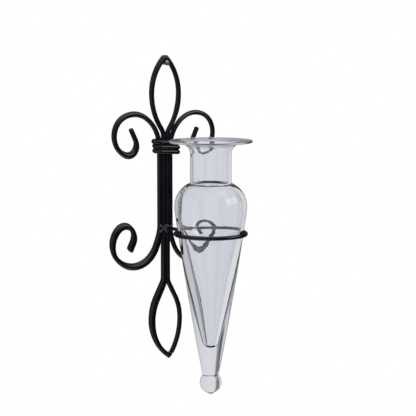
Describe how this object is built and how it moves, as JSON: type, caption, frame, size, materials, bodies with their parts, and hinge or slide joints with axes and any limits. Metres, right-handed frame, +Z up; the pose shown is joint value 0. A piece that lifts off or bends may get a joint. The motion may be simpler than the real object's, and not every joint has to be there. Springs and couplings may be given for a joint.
{
  "type": "wall mounted glass flower tube",
  "caption": "Tall clear glass tube vase with a flared rim, a round bulb and a ball foot, held in the ring of a black bent-rod wall bracket with leaves and scrolls, hung on a nail.",
  "frame": {"origin": "the point where the nail's axis meets the wall's face; the wall is the plane y = 0", "axes": "+Z up along the bracket's stem, +Y along the nail into the wall, +X to the right of someone who faces the wall; everything but the nail's shank lies on the -Y side"},
  "size_m": [0.145, 0.1527, 0.3492],
  "materials": {
    "black_powder_coat": "semi-gloss black powder coat over steel rod",
    "nail_steel": "zinc plated steel",
    "clear_glass": "clear blown glass, smooth"
  },
  "bodies": {
    "nail": {"wall_nail": "nail_steel"},
    "bracket": {"leaf_rod": "black_powder_coat", "left_scroll_rod": "black_powder_coat", "right_scroll_rod": "black_powder_coat", "collar_binding": "black_powder_coat", "holding_ring": "black_powder_coat", "ring_arm": "black_powder_coat", "arm_weld": "black_powder_coat", "ring_weld": "black_powder_coat", "leaf_tip_weld": "black_powder_coat"},
    "tube": {"glass_tube": "clear_glass"}
  },
  "joints": [
    {"name": "bracket_lift_off", "type": "slide", "parent": "nail", "child": "bracket", "axis": [0, -0.7071, 0.7071], "range_m": [0, 0.04]},
    {"name": "tube_lift", "type": "slide", "parent": "bracket", "child": "tube", "axis": [0, 0, 1], "range_m": [0, 0.18]}
  ]
}
